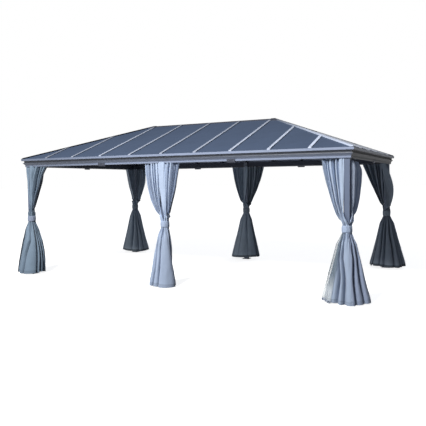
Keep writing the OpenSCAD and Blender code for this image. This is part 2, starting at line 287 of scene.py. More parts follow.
def stage():
    s = 120.0
    floor = mesh_object("floor", [(-s, -s, -0.001), (s, -s, -0.001), (s, s, -0.001), (-s, s, -0.001)], [(0, 1, 2, 3)])
    m, nt, p = new_mat("floor_pale")
    v = obj_coords(nt)
    n = noise(nt, v, 0.6, 3)
    col = mixc(nt, ramp(nt, n, [(0.3, 0.0), (0.7, 1.0)]), (0.86, 0.86, 0.86), (0.90, 0.90, 0.90))
    nt.links.new(col, p.inputs["Base Color"])
    p.inputs["Roughness"].default_value = 0.9
    p.inputs["Specular IOR Level"].default_value = 0.1
    p.inputs["Emission Color"].default_value = (1, 1, 1, 1)
    far = nt.nodes.new("ShaderNodeVectorMath")
    far.operation = "LENGTH"
    nt.links.new(obj_coords(nt), far.inputs[0])
    mr = nt.nodes.new("ShaderNodeMapRange")
    mr.interpolation_type = "SMOOTHSTEP"
    mr.inputs["From Min"].default_value = 4.0
    mr.inputs["From Max"].default_value = 13.0
    mr.inputs["To Min"].default_value = 0.86
    mr.inputs["To Max"].default_value = 1.0
    nt.links.new(far.outputs["Value"], mr.inputs["Value"])
    nt.links.new(mr.outputs[0], p.inputs["Emission Strength"])
    floor.data.materials.append(m)
    floor.visible_diffuse = False
    floor.visible_shadow = False
    w = bpy.data.worlds.new("studio")
    bpy.context.scene.world = w
    w.use_nodes = True
    nt = w.node_tree
    bg = nt.nodes["Background"]
    bg.inputs[0].default_value = (0.80, 0.87, 1.0, 1)
    bg.inputs[1].default_value = 0.11
    bg2 = nt.nodes.new("ShaderNodeBackground")
    bg2.inputs[0].default_value = (1, 1, 1, 1)
    bg2.inputs[1].default_value = 1.0
    lp = nt.nodes.new("ShaderNodeLightPath")
    mx = nt.nodes.new("ShaderNodeMixShader")
    nt.links.new(lp.outputs["Is Camera Ray"], mx.inputs[0])
    nt.links.new(bg.outputs[0], mx.inputs[1])
    nt.links.new(bg2.outputs[0], mx.inputs[2])
    nt.links.new(mx.outputs[0], nt.nodes["World Output"].inputs[0])

    def sun(name, az, el, strength, angle, rgb=(1, 1, 1)):
        """az is measured from the front (-Y) towards the left (-X)."""
        l = bpy.data.lights.new(name, "SUN")
        l.energy = strength
        l.angle = math.radians(angle)
        l.color = rgb
        o = bpy.data.objects.new(name, l)
        a, e = math.radians(az), math.radians(el)
        d = Vector((-math.sin(a) * math.cos(e), -math.cos(a) * math.cos(e), math.sin(e)))
        o.rotation_euler = d.to_track_quat("Z", "Y").to_euler()
        bpy.context.scene.collection.objects.link(o)

    box = bpy.data.lights.new("key", "AREA")
    box.shape = "RECTANGLE"
    box.size, box.size_y = 3.0, 2.2
    box.energy = 1750
    box.color = (1.0, 0.99, 0.97)
    o = bpy.data.objects.new("key", box)
    o.location = (-0.3, -10.0, 8.0)
    o.rotation_euler = Vector((-0.3, -9.0, 7.0)).to_track_quat("Z", "Y").to_euler()
    bpy.context.scene.collection.objects.link(o)
    sun("fill", 34, -4, 0.42, 40, (0.95, 0.98, 1.0))
    sun("rim", 205, 40, 0.30, 40, (0.9, 0.94, 1.0))
    bpy.context.scene.view_settings.view_transform = "Standard"


stage()

# ------------------------------------------------------------------ finishes of the fixed parts

M = {}
M["posts"] = painted("post_paint", (88, 100, 124), rough=0.45, var=0.06, streak=(8, 8, 0.7), dirt=0.25)
M["frame"] = painted("frame_paint", (48, 53, 67), rough=0.6, var=0.08, streak=(4, 4, 4), dirt=0.2, spec=0.2)
M["rails"] = painted("rail_paint", (48, 52, 62), rough=0.35, var=0.06, dirt=0.2)
M["gutter"] = painted("gutter_paint", (87, 96, 115), rough=0.42, var=0.07, streak=(1.2, 1.2, 14), dirt=0.35, edge=0.3)


def tone_by_height(mat, stops):
    """Painted light and shade that follow the height above the ground: stops are (height, factor)."""
    nt = mat.node_tree
    p = nt.nodes["Principled BSDF"]
    src = p.inputs["Base Color"].links[0].from_socket
    sep = nt.nodes.new("ShaderNodeSeparateXYZ")
    nt.links.new(obj_coords(nt), sep.inputs[0])
    z0, z1 = stops[0][0], stops[-1][0]
    mr = nt.nodes.new("ShaderNodeMapRange")
    mr.inputs["From Min"].default_value = z0
    mr.inputs["From Max"].default_value = z1
    nt.links.new(sep.outputs["Z"], mr.inputs["Value"])
    r = nt.nodes.new("ShaderNodeValToRGB")
    cr = r.color_ramp
    cr.elements[0].position, cr.elements[0].color = 0.0, (*[stops[0][1] / 2] * 3, 1)
    cr.elements[1].position, cr.elements[1].color = 1.0, (*[stops[-1][1] / 2] * 3, 1)
    for z, f in stops[1:-1]:
        e = cr.elements.new((z - z0) / (z1 - z0))
        e.color = (f / 2, f / 2, f / 2, 1)
    nt.links.new(mr.outputs[0], r.inputs[0])
    two = nt.nodes.new("ShaderNodeVectorMath")
    two.operation = "SCALE"
    two.inputs["Scale"].default_value = 2.0
    nt.links.new(r.outputs[0], two.inputs[0])
    n = nt.nodes.new("ShaderNodeVectorMath")
    n.operation = "MULTIPLY"
    nt.links.new(src, n.inputs[0])
    nt.links.new(two.outputs[0], n.inputs[1])
    nt.links.new(n.outputs[0], p.inputs["Base Color"])


# painted shade: the tops of the posts, between the beams above the rail, are painted darker
tone_by_height(M["posts"], [(0.0, 1.0), (1.945, 1.0), (1.965, 0.45), (2.06, 0.45)])
# a shaded copy of the gutter paint for the right end: painted shade over the side, darker still in the slot, and a
# painted glint on the top lip
M["gutter_right"] = painted("gutter_paint_right_shaded", (158, 158, 160), rough=0.6, var=0.07, streak=(1.2, 1.2, 14), dirt=0.35, spec=0.15, edge=0.1)
tone_by_height(M["gutter_right"], [(EAVE - 0.145, 0.40), (EAVE - 0.118, 0.42), (EAVE - 0.112, 0.31), (EAVE - 0.080, 0.31), (EAVE - 0.068, 0.17),
                                   (EAVE - 0.040, 0.15), (EAVE - 0.030, 2.0), (EAVE + 0.002, 2.0)])
# painted highlight on the two lips, painted shade in the slot between them
tone_by_height(M["gutter"], [(EAVE - 0.145, 1.6), (EAVE - 0.118, 1.7), (EAVE - 0.112, 1.0), (EAVE - 0.080, 1.0), (EAVE - 0.068, 0.35),
                             (EAVE - 0.040, 0.30), (EAVE - 0.032, 1.7), (EAVE + 0.002, 1.8)])
M["dark"] = painted("dark_trim_paint", (58, 62, 74), rough=0.5, var=0.08, streak=(2, 2, 2), dirt=0.2, spec=0.25)
M["roof"] = painted("roof_paint", (70, 84, 108), rough=0.5, var=0.05, streak=(1.0, 1.0, 1.0), dirt=0.22, peel=0.08)
M["silver"] = painted("silver_trim_paint_glint", (204, 214, 235), rough=0.4, var=0.05, streak=(1, 1, 1), dirt=0.25)


def tone_along_axis(mat, stops, axis="X"):
    """Tone that changes along the roof: stops are (place on the axis, factor)."""
    nt = mat.node_tree
    p = nt.nodes["Principled BSDF"]
    src = p.inputs["Base Color"].links[0].from_socket
    sep = nt.nodes.new("ShaderNodeSeparateXYZ")
    nt.links.new(obj_coords(nt), sep.inputs[0])
    a, b = stops[0][0], stops[-1][0]
    mr = nt.nodes.new("ShaderNodeMapRange")
    mr.inputs["From Min"].default_value, mr.inputs["From Max"].default_value = a, b
    nt.links.new(sep.outputs[axis], mr.inputs["Value"])
    r = nt.nodes.new("ShaderNodeValToRGB")
    cr = r.color_ramp
    cr.elements[0].position, cr.elements[0].color = 0.0, (*[stops[0][1]] * 3, 1)
    cr.elements[1].position, cr.elements[1].color = 1.0, (*[stops[-1][1]] * 3, 1)
    for x, f in stops[1:-1]:
        e = cr.elements.new((x - a) / (b - a))
        e.color = (f, f, f, 1)
    nt.links.new(mr.outputs[0], r.inputs[0])
    n = nt.nodes.new("ShaderNodeVectorMath")
    n.operation = "MULTIPLY"
    nt.links.new(src, n.inputs[0])
    nt.links.new(r.outputs[0], n.inputs[1])
    nt.links.new(n.outputs[0], p.inputs["Base Color"])


# painted glint on the seam strips: lighter towards the right end of the roof, darker towards the ridge
tone_along_axis(M["silver"], [(-2.6, .42), (-1.8, .56), (-1.2, .73), (-.6, .64), (0, .61), (.6, .62), (1.2, .77), (1.8, .84), (2.4, 1.0)])
tone_along_axis(M["silver"], [(2.1, 1.0), (2.35, 1.0), (2.72, 0.74)], "Z")
# the gutter paint is darker towards the left end of the roof
tone_along_axis(M["gutter"], [(-3.1, .55), (-2.2, .62), (-.8, .92), (0.2, 1.0)])
# painted reflection on the hip caps: dark at the left end of the roof, bright silver towards the right
M["hip"] = painted("hip_paint_glint", (200, 210, 230), rough=0.45, var=0.06, streak=(2, 2, 2), dirt=0.25)
tone_along_axis(M["hip"], [(-3.1, .05), (0.9, .07), (1.4, .30), (2.1, .75), (3.1, 1.0)])


def shade_end_faces(mat, low):
    """Painted shade: the faces turned to the end of the roof are painted darker, with less specular."""
    nt = mat.node_tree
    p = nt.nodes["Principled BSDF"]
    src = p.inputs["Base Color"].links[0].from_socket
    g = nt.nodes.new("ShaderNodeNewGeometry")
    sep = nt.nodes.new("ShaderNodeSeparateXYZ")
    nt.links.new(g.outputs["True Normal"], sep.inputs[0])
    mr = nt.nodes.new("ShaderNodeMapRange")
    mr.inputs["From Min"].default_value, mr.inputs["From Max"].default_value = 0.12, 0.3
    mr.inputs["To Min"].default_value, mr.inputs["To Max"].default_value = 1.0, low
    nt.links.new(sep.outputs["X"], mr.inputs["Value"])
    n = nt.nodes.new("ShaderNodeVectorMath")
    n.operation = "SCALE"
    nt.links.new(src, n.inputs[0])
    nt.links.new(mr.outputs[0], n.inputs["Scale"])
    nt.links.new(n.outputs[0], p.inputs["Base Color"])
    half = nt.nodes.new("ShaderNodeMath")
    half.operation = "MULTIPLY"
    half.inputs[1].default_value = 0.5
    cut = nt.nodes.new("ShaderNodeMapRange")
    cut.inputs["From Min"].default_value, cut.inputs["From Max"].default_value = low, 1.0
    nt.links.new(mr.outputs[0], cut.inputs["Value"])
    nt.links.new(cut.outputs[0], half.inputs[0])
    nt.links.new(half.outputs[0], p.inputs["Specular IOR Level"])


# a shaded copy of the silver trim for the strips on the right end of the roof
M["silver_right"] = painted("silver_trim_paint_right_shaded", (150, 155, 166), rough=0.5, var=0.05, streak=(1, 1, 1), dirt=0.25, spec=0.2)
# painted shade on the faces turned to the right end of the roof
shade_end_faces(M["silver"], 0.30)
shade_end_faces(M["silver_right"], 0.6)
shade_end_faces(M["hip"], 0.15)
shade_end_faces(M["roof"], 0.7)


def finish(prefixes, mat, bevel=0.0, segs=2):
    for n, o in NODES.items():
        if any(n == p or n.startswith(p + "_") for p in prefixes):
            o.data.materials.clear()
            o.data.materials.append(mat)
            if bevel:
                b = o.modifiers.new("edge", "BEVEL")
                b.width = bevel
                b.segments = segs
                b.limit_method = "ANGLE"
                b.angle_limit = math.radians(35)
                b.harden_normals = False


finish(["post"], M["posts"], 0.004)
finish(["foot_plates"], M["posts"], 0.0015)
finish(["beam", "ridge_beam", "hip_rafters", "rafters"], M["frame"], 0.002)
finish(["curtain_rails"], M["rails"], 0.0012)
for n in ("gutter_front", "gutter_back", "gutter_left", "gutter_right"):
    finish([n], M["gutter_right" if n == "gutter_right" else "gutter"], 0.0015)
finish(["gutter_joint_sleeves", "gutter_corner_covers", "ridge_end_caps", "ridge_cap"], M["dark"], 0.002)
finish(["hip_caps"], M["hip"], 0.002)
finish(["roof_panels"], M["roof"], 0.0015)
finish(["seam_strips"], M["silver"], 0.003)
# the strips on the right end take the shaded copy of the silver
NODES["seam_strips_right"].data.materials[0] = M["silver_right"]

# ------------------------------------------------------------------ curtains

# one fabric in lit and shaded copies: each curtain's copy is painted lighter or darker for the light and shade that
# fall on it
M["cloth"] = cloth_material("curtain_cloth", (168, 183, 208), crease_shade=0.55, stripe=[(0.0, 0.045, 0.5, 0.72), (0.045, 0.049, 1.0, 0.45)])
M["cloth_front"] = cloth_material("curtain_cloth_front", (172, 187, 211), crease_shade=0.9, stripe=[(0.0, 0.045, 0.5, 0.72), (0.045, 0.049, 1.0, 0.45)])
M["tie"] = cloth_material("tie_cloth", (160, 175, 200))
M["cloth_right"] = cloth_material("curtain_cloth_right", (165, 180, 202), crease_shade=0.8, stripe=[(0.0, 0.045, 0.5, 0.72), (0.045, 0.049, 1.0, 0.45)])
M["cloth_side"] = cloth_material("curtain_cloth_side", (196, 210, 233), crease_shade=0.9, stripe=[(0.0, 0.045, 0.5, 0.72), (0.045, 0.049, 1.0, 0.45)])
M["cloth_left"] = cloth_material("curtain_cloth_left", (121, 139, 157), crease_shade=0.95, stripe=[(0.0, 0.045, 0.5, 0.72), (0.045, 0.049, 1.0, 0.45)])
M["cloth_back_right"] = cloth_material("curtain_cloth_back_right", (142, 154, 168), crease_shade=0.6, sheen=0.1, stripe=[(0.0, 0.045, 0.9, 0.3)])
M["cloth_back"] = cloth_material("curtain_cloth_back", (176, 190, 204), crease_shade=0.45, sheen=0.1, stripe=[(0.0, 0.045, 0.9, 0.3)])
M["cloth_mid"] = cloth_material("curtain_cloth_mid", (134, 146, 158), crease_shade=0.5, sheen=0.1, stripe=[(0.0, 0.045, 0.9, 0.3)])
M["cloth_shade"] = cloth_material("curtain_cloth_shade", (86, 94, 104), crease_shade=0.6, sheen=0.05, stripe=[(0.0, 0.045, 0.9, 0.3)])
M["tie_left"] = cloth_material("tie_cloth_left_shaded", (136, 146, 168))
M["tie_back"] = cloth_material("tie_cloth_back_shaded", (140, 152, 164), sheen=0.1)

CLOTH_W, CLOTH_L = 1.15, 1.93
TOP = 1.962
RING = 0.0645
PROF = [(0, 0), (0.06, 0.09), (0.155, 0.26), (0.38, 0.46), (0.68, 0.73), (0.94, 0.97), (1, 1)]


def table(q, pts):
    p = np.array(pts, float)
    return np.interp(q, p[:, 0], p[:, 1])


def waves(g, n, lo, hi):
    """A handful of random plane waves for soft wrinkles: (kx, kz, phase, size)"""
    k = np.exp(g.uniform(math.log(lo), math.log(hi), n))
    a = g.uniform(-0.6, 0.6, n)
    return [(k[i] * math.cos(a[i]), k[i] * math.sin(a[i]), g.uniform(0, 6.28), g.uniform(0.5, 1.0)) for i in range(n)]


def wav(ws, x, z):
    out = 0
    for kx, kz, p, s in ws:
        out = out + s * np.sin(2 * np.pi * (kx * x + kz * z) + p)
    return out / max(1, len(ws)) ** 0.5


def depth_to_post(bu, bv, nu, nv, half=0.0425):
    """How far each base point may be pushed against its outward normal before it meets the post, eased along the row."""
    du, dv = -nu, -nv
    with np.errstate(divide="ignore", invalid="ignore"):
        a, b = (-half - bu) / du, (half - bu) / du
        c, e = (-half - bv) / dv, (half - bv) / dv
    lo = np.fmax(np.fmin(a, b), np.fmin(c, e))
    hi = np.fmin(np.fmax(a, b), np.fmax(c, e))
    hit = (hi >= lo) & (hi > 0)
    room = np.where(hit, np.maximum(lo, 0.0), 0.14)
    k = 9
    pad = np.pad(room, k, mode="edge")
    low = np.min([pad[i:i + len(room)] for i in range(2 * k + 1)], axis=0)
    pad = np.pad(low, k, mode="edge")
    return np.mean([pad[i:i + len(room)] for i in range(2 * k + 1)], axis=0)


def fold_sheet(name, d, turn, cfg, mat, shrink=0.0, ns=200, nt=118, flat_w=CLOTH_W, top=TOP, hem_extra=0.0, deep=1.0, uvoff=0.0):
    """One curtain, hung on its rail, gathered to its half of the ring round the post, and falling below the tie.
    Across the width the cloth runs fold by fold: rounded crests on the outside, and valleys between them that take up the rest of the width."""
    g = rng(cfg["seed"])
    px, py = d["post"]
    ztie = d["tie"]
    zt, zb = ztie + TIE_H / 2, ztie - TIE_H / 2
    cx, cy, ea, eb = d["sk"]
    zhem = d["hem"] + hem_extra
    mx, my = cfg.get("mx", d["mx"]), cfg.get("my", d["my"])
    to_world = frame_map(mx, my, turn)
    basis = to_world(np.eye(3))[:2, :2]
    scx, scy = basis @ np.array([-cx if d["mx"] else cx, -cy if d["my"] else cy])
    sa, sb = np.abs(basis) @ np.array([ea, eb]) - shrink
    f0, f1 = cfg["half"]
    ctop = np.array(cfg["top"], float)
    chem = np.array(cfg["hemw"], float)
    n = len(ctop)
    ctop, chem = ctop / ctop.sum(), chem / chem.sum()
    share = 0.5 * (ctop + chem) + 0.7 / n
    share = share / share.sum()
    dep = np.array(cfg.get("dep", g.uniform(0.85, 1.25, n + 1)), float)
    dep2 = np.array(cfg.get("dep2", dep), float)
    inset = np.array(cfg.get("inset", g.uniform(0.0, 1.0, n)), float)
    low = np.array(cfg.get("low", [0.0] * n), float)
    opn = np.array(cfg.get("open", g.uniform(0.8, 1.5, n + 1)), float)
    lean = np.array(cfg.get("lean", g.uniform(-0.25, 0.35, n + 1)), float)

    # rows: closer together round the tie
    n_up, n_tie = int(nt * 0.43), int(nt * 0.11)
    n_dn = nt - n_up - n_tie
    zs = np.concatenate([
        top + (zt - top) * np.sin(np.linspace(0, 1, n_up, endpoint=False) * np.pi / 2) ** 0.9,
        np.linspace(zt, zb, n_tie, endpoint=False),
        zb + (zhem - zb) * np.linspace(0, 1, n_dn) ** 1.12])
    # columns: each fold keeps its own share of them
    cols = np.maximum(8, np.round(ns * share).astype(int))
    ns = int(cols.sum()) + 1
    fold_of = np.concatenate([np.repeat(np.arange(n), cols), [n - 1]])
    frac = np.concatenate([np.arange(c) / c for c in cols] + [[1.0]])
    es = np.concatenate([[0], np.cumsum(share)])
    s = es[fold_of] + share[fold_of] * frac
    m_d = 56
    tau = np.linspace(0, 1, m_d)
    x_in = 0.5 - 0.5 * np.cos(np.pi * tau)
    V = np.zeros((nt, ns, 3))
    C = np.zeros((nt, ns))
    arcs = np.zeros(nt)
    lg = np.linspace(0, 1, 160)
    nz = [waves(g, 3, 0.5, 1.6) for _ in range(n)]
    wr1, wr2, wr3 = waves(g, 5, 2.0, 5.0), waves(g, 7, 6.0, 14.0), waves(g, 6, 1.0, 2.4)
    dn = [waves(g, 3, 0.6, 1.8) for _ in range(n + 1)]
    gath = g.uniform(0, 6.28, 3)
    x_cloth = s * flat_w
    xs_all = [(x_in if 0 < i < n - 1 else (0.34 + 0.66 * x_in if i == 0 else 0.66 * x_in)) for i in range(n)]
    for j, z in enumerate(zs):
        q = min(max((top - z) / (top - zt), 0.0), 1.0)
        t = min(max((zb - z) / (zb - zhem), 0.0), 1.0)
        down = z < zt
        mixf = 0.0 if q < 1 else float(smooth(np.array(t * 1.4)))
        mixf = max(mixf, 0.5 * q * q)
        c = ctop * (1 - mixf) + chem * mixf
        c = c * np.array([1 + 0.18 * float(wav(nz[i], 0.0, z)) for i in range(n)])
        c = c / c.sum()
        e = np.concatenate([[0], np.cumsum(c)])
        # base curve of this row, on the outside of the crests
        R = float(table(q, cfg["reach"]))
        uin = 0.046 + cfg.get("uin", 0.0) * (1 - q * q)
        vo = -0.054 + cfg.get("vo", 0.0) * (1 - q) - cfg.get("bulge", 0.0) * math.sin(math.pi * min(1.0, q * cfg.get("bq", 1.15))) * lg
        ud = uin + (R - uin) * lg
        vd = vo + 0.012 * (1 - q) * (2 * lg - 1) ** 2
        flare = cfg.get("flare", 0.0) * (1 - q ** 5)
        vd = vd + min(0.011, flare) - flare * (1 - np.exp(-lg / 0.055))
        fr = np.radians(f0 + (f1 - f0) * lg)
        if t <= 0:
            ur, vr = RING * np.cos(fr), RING * np.sin(fr)
        else:
            kk = float(table(t, cfg.get("prof", PROF)))
            ax, by = RING + (sa - RING) * kk, RING + (sb - RING) * kk
            kc = float(table(t, cfg["cprof"])) if "cprof" in cfg else kk
            ur, vr = scx * kc + ax * np.cos(fr), scy * kk + by * np.sin(fr)
        wrap = cfg.get("wrap", 0.30)
        bl = float(smooth(np.array((zt + wrap - z) / wrap)))
        blr = float(smooth(np.array((zt + wrap * 0.8 - z) / (wrap * 0.8)))) ** 1.3
        # the row closes in on the ring by turning round the post, never through it
        bb = bl * (1 - lg) + blr * lg
        if not down:
            rd, fd = np.hypot(ud, vd), np.unwrap(np.arctan2(vd, ud))
            rb = rd * (1 - bb ** 0.7) + RING * bb ** 0.7
            fb = fd * (1 - bb ** 2.2) + fr * bb ** 2.2
            want = max(R, (RING + 0.0005))
            want = (RING + 0.0005) + (want - (RING + 0.0005)) * float(smooth(np.array((1 - q) / 0.10)))
            k_ = 1.0
            for it in range(7):
                m = (np.where(rb > 0.0580, 0.0580 + (rb - 0.0580) * k_, rb) * np.cos(fb)).max()
                k_ = min(4.0, max(0.05, k_ * (want - 0.056) / max(m - 0.056, 0.004)))
            rb = np.where(rb > 0.0580, 0.0580 + (rb - 0.0580) * k_, rb)
            vmax = np.where(np.sin(fb) > 0, 0.0660 + 0.18 * (want - (RING + 0.0005)), 0.0680 + 0.5 * (want - (RING + 0.0005)))
            rb = np.where(bb > 0.02, np.minimum(rb, vmax / np.maximum(np.abs(np.sin(fb)), 0.05)), rb)
            lim = 0.0450 / np.maximum(np.abs(np.cos(fb)), np.abs(np.sin(fb)))
            rb = np.maximum(rb, lim)
            U, W_ = rb * np.cos(fb), rb * np.sin(fb)
        else:
            U, W_ = ur, vr
        tu, tv = np.gradient(U, lg), np.gradient(W_, lg)
        tl = np.hypot(tu, tv) + 1e-9
        tu, tv = tu / tl, tv / tl
        blen = np.hypot(np.diff(U), np.diff(W_)).sum()
        fit = depth_to_post(U, W_, tv, -tu)
        # the folds of this row, as points along the base and depths behind it
        if not down:
            cap = 0.092 * deep * (1 - q ** 3.5) + 0.0170 * q ** 3.5
            op = 0.024 - 0.012 * q
            rnd = 0.20 - 0.08 * q
        elif t <= 0:
            cap, op, rnd = 0.0170, 0.012, 0.10
        else:
            cap = min(0.115 * deep, max(0.0170, 0.9 * (min(ax, by) - 0.060)))
            op = 0.013 + 0.028 * t
            rnd = 0.12 + 0.08 * t
        dnow = dep2 if down and t > 0 else dep
        dz = np.clip(np.array([dnow[i] * (1 + 0.35 * float(wav(dn[i], 0.3 * i, z))) for i in range(n + 1)]), 0.2, 1.35)
        ll, vv, cr, vm, ls = [], [], [], [], []
        w1 = 1.0
        for i in range(n):
            x = xs_all[i]
            cm = max(c[i] * blen, 1e-4)
            s0 = min(0.42, 0.5 * op * opn[i] / cm)
            s1 = min(0.42, 0.5 * op * opn[i + 1] / cm)
            e0, e1 = np.exp(-(x / s0) ** 1.7), np.exp(-((1 - x) / s1) ** 1.7)
            if i == 0:
                e0 = e0 * 0
            if i == n - 1:
                e1 = e1 * 0
            ll.append(e[i] + c[i] * x)
            vv.append(dz[i] * e0 + dz[i + 1] * e1)
            vm.append(e0 + e1)
            rn = cfg.get("round", 1.0)
            cr.append(np.minimum(rnd * rn * cm, 0.022 * rn) * (2 * x - 1) ** 2 + (0.008 + 0.020 * t) * inset[i] * (1 - e0) * (1 - e1) * (1.0 if down else cfg.get("inset_up", 1.0) * (0.6 * (1 - q) + 0.15)))
            ls.append(lean[i] * e0 + lean[i + 1] * e1)
        l = np.concatenate(ll)
        lo_, hi_ = l[0], l[-1]
        l = (l - lo_) / (hi_ - lo_)
        vv, cr, vm, ls = map(np.concatenate, (vv, cr, vm, ls))
        if t <= 0 and down:
            cr = cr * 0.4
        Bu, Bv = np.interp(l, lg, U), np.interp(l, lg, W_)
        Tu, Tv = np.interp(l, lg, tu), np.interp(l, lg, tv)
        nl = np.hypot(Tu, Tv) + 1e-9
        Tu, Tv = Tu / nl, Tv / nl
        Nu, Nv = Tv, -Tu
        fit_l = np.interp(l, lg, fit)
        a_lo, a_hi = 0.0, cap
        for it in range(8):
            dm = 0.5 * (a_lo + a_hi)
            dd = np.minimum(np.minimum(dm * vv, cap * 1.12) + cr, fit_l)
            Pu, Pv = Bu - Nu * dd + Tu * ls * dm, Bv - Nv * dd + Tv * ls * dm
            L = np.hypot(np.diff(Pu), np.diff(Pv)).sum()
            if L < flat_w:
                a_lo = dm
            else:
                a_hi = dm
        # resample each fold evenly along its own length
        OUT = np.zeros((ns, 6))
        k0 = 0
        cur = 0
        for i in range(n):
            sl = slice(k0, k0 + m_d)
            cu = np.concatenate([[0], np.cumsum(np.hypot(np.diff(Pu[sl]), np.diff(Pv[sl])))])
            cu = cu / max(cu[-1], 1e-9)
            f_ = frac[cur:cur + cols[i]]
            for kcol, arr in enumerate((Pu, Pv, Nu, Nv, vm, l)):
                OUT[cur:cur + cols[i], kcol] = np.interp(f_, cu, arr[sl])
                if i == n - 1:
                    OUT[ns - 1, kcol] = arr[k0 + m_d - 1]
            cur += cols[i]
            k0 += m_d
        Pu, Pv, Nu, Nv, vmask, lrow = OUT.T
        # small gathers that spring from the heading and from the tie, then wrinkles and sway
        near_tie = math.exp(-((z - (ztie + 0.12)) / 0.13) ** 2) if z > ztie else math.exp(-((z - (ztie - 0.10)) / 0.13) ** 2)
        near_top = math.exp(-((top - z) / 0.16) ** 2)
        pc = fold_of + frac
        ga = np.sin(2 * np.pi * pc * 3 + gath[0] + 0.6 * np.sin(7 * z)) * 0.65 + 0.35 * np.sin(2 * np.pi * pc * 4.7 + gath[1])
        room = 0.0050 if (down and t <= 0) else 0.0085 if down else cfg.get("room_up", 0.0085)
        small = (room * near_tie + 0.0060 * near_top) * ga
        wz = wav(wr1, x_cloth * 1.0, z) * 0.0034 + wav(wr2, x_cloth, z * 0.6) * 0.0012
        wz = wz * (1.0 if down and t > 0.05 else 0.8 if q < 0.9 else 0.35)
        sway = wav(wr3, x_cloth * 0.6, z) * 0.010 * (math.sin(math.pi * min(1, q * 1.0)) if not down else 0.5 * t)
        if down and t <= 0:
            wz, sway = wz * 0.2, sway * 0
        away = max(z - zt, zb - z, 0.0)
        disp = np.minimum(small + wz + sway, 0.0045 + 0.0055 * float(smooth(np.array(away / cfg.get("snug", 0.02)))))
        Pu, Pv = Pu + Nu * disp, Pv + Nv * disp
        # clear of the post
        fa = np.arctan2(Pv, Pu)
        lim = 0.0425 / np.maximum(np.abs(np.cos(fa)), np.abs(np.sin(fa)))
        rr = np.hypot(Pu, Pv)
        sc = np.where(rr < lim, lim / np.maximum(rr, 1e-6), 1.0)
        Pu, Pv = Pu * sc, Pv * sc
        zz = np.full(ns, z)
        near = max(0.0, 1 - (top - z) / 0.05)
        zz = zz - 0.002 * vmask * near + cfg.get("lift", 0.015) * np.clip(1 - vmask / 0.12, 0, 1) * near ** 1.5
        if t > 0:
            lw = np.interp(pc, np.arange(n) + 0.5, low)
            zz = zz + (0.010 * np.sin(2 * np.pi * s * 1.3 + gath[2]) - lw) * t ** 2
        V[j, :, 0], V[j, :, 1], V[j, :, 2] = Pu, Pv, zz
        # painted shade for the cloth: high in the valleys between folds, scaled above the tie, and below the tie given
        # a floor that darkens the whole skirt
        C[j] = np.clip(vmask, 0, 1) * (1.0 if down else cfg.get("crease_shade_up", 0.6) * (1 - q) + q)
        if down and t > 0:
            C[j] = np.maximum(C[j], 0.30 + 0.12 * cfg.get("skirt_shade", 0.0))
        arcs[j] = np.hypot(np.diff(Pu), np.diff(Pv)).sum()
    P = V.reshape(-1, 3)
    W = to_world(P)
    W[:, 0] += px
    W[:, 1] += py
    W[:, 2] = np.maximum(W[:, 2], 0.012)
    jj, ii = np.meshgrid(np.arange(nt - 1), np.arange(ns - 1), indexing="ij")
    p0 = (jj * ns + ii).ravel()
    faces = np.stack([p0, p0 + 1, p0 + ns + 1, p0 + ns], 1)
    o = mesh_object(name, W, faces, mat)
    uvl = o.data.uv_layers.new(name="UVMap")
    uu = np.zeros((len(o.data.loops), 2), np.float32)
    li = np.zeros(len(o.data.loops), np.int32)
    o.data.loops.foreach_get("vertex_index", li)
    uu[:, 0] = s[li % ns] * flat_w + uvoff
    uu[:, 1] = (zs[li // ns] - zhem) / (top - zhem) * CLOTH_L
    uvl.data.foreach_set("uv", uu.ravel())
    # the painted shade of the folds, carried on the mesh
    at = o.data.attributes.new("crease_shade", "FLOAT", "POINT")
    at.data.foreach_set("value", C.ravel().astype(np.float32))
    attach(o, "root")
    o["arc"] = float(arcs.mean())
    return o, V, W.reshape(nt, ns, 3), (s, zs, arcs)


def frame_map(mx, my, turn):
    """from a panel's u, v to the post's X, Y: turn first, then the mirrors of its corner"""
    def f(P):
        Q = P.copy()
        if turn == "A":      # runs along -X
            Q[:, 0] = -P[:, 0]
        elif turn == "B":    # runs along +Y, outward +X
            Q[:, 0], Q[:, 1] = -P[:, 1].copy(), P[:, 0].copy()
        if mx:
            Q[:, 0] = -Q[:, 0]
        if my:
            Q[:, 1] = -Q[:, 1]
        return Q
    return f


def folds(seed, n, lo=0.6, hi=1.6):
    return list(rng(seed).uniform(lo, hi, n))


FL_PROF = [(0, 0), (.06, .09), (.155, .27), (.3, .44), (.38, .54), (.57, .73), (.77, .89), (.94, .98), (1, 1)]
FL_CENTRE = [(0, 0), (.1, -.1), (.22, -.33), (.38, -.69), (.57, -.6), (.77, -.13), (.96, .55), (1, .6)]

